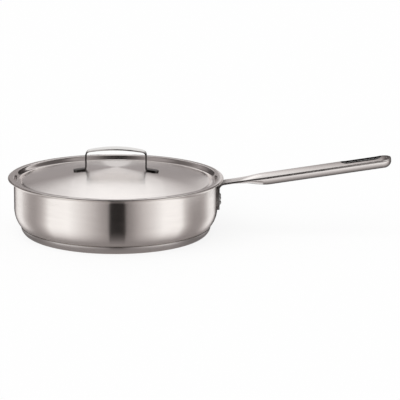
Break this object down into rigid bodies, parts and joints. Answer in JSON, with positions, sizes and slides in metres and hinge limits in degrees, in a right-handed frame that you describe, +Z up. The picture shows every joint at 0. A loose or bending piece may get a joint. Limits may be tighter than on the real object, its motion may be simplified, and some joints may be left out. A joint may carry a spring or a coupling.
{
  "type": "saute pan with lid",
  "caption": "Straight-sided stainless steel saute pan with a capsule base, a long riveted hollow handle and a lift-off domed lid with a strap handle.",
  "frame": {"origin": "on the pan's axis, at the flat underside of the base that it stands on", "axes": "+Z up along the pan's axis, +X along the long handle, +Y across the handle"},
  "size_m": [0.4915, 0.2768, 0.1103],
  "materials": {
    "pan_steel": "fine brushed round the wall",
    "base_steel": "turned satin",
    "core_aluminium": "raw, hidden in the capsule",
    "handle_steel": "satin, brushed along the grip",
    "rivet_steel": "polished",
    "lid_steel": "spun, brushed in circles",
    "lid_handle_steel": "polished"
  },
  "bodies": {
    "pan": {"pan_body": "pan_steel", "base_core": "core_aluminium", "base_cap": "base_steel", "handle_upper_shell": "handle_steel", "handle_lower_shell": "handle_steel", "rivet_left": "rivet_steel", "rivet_right": "rivet_steel", "rivet_lower": "rivet_steel"},
    "lid": {"lid_shell": "lid_steel", "lid_handle": "lid_handle_steel"}
  },
  "joints": [
    {"name": "lid_lift", "type": "slide", "parent": "pan", "child": "lid", "axis": [0, 0, 1], "range_m": [0, 0.15]}
  ]
}
